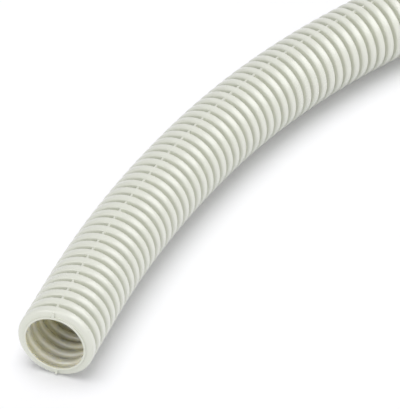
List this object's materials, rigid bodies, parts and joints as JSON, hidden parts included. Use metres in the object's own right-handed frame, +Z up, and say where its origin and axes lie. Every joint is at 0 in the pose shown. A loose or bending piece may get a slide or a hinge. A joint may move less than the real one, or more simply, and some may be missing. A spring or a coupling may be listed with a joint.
{
  "type": "corrugated conduit",
  "caption": "Bendable plastic conduit with rounded waves all along, cut from a coil and lying in an open half turn, open at both ends.",
  "frame": {"origin": "on the ground, under the middle of the whole outline", "axes": "+Z up, +Y along the tube's axis into the first end, +X from the first end towards the far end"},
  "size_m": [0.6194, 0.3569, 0.025],
  "materials": {
    "conduit_plastic": "satin off-white moulded plastic"
  },
  "bodies": {
    "root": {"conduit": "conduit_plastic"}
  },
  "joints": []
}
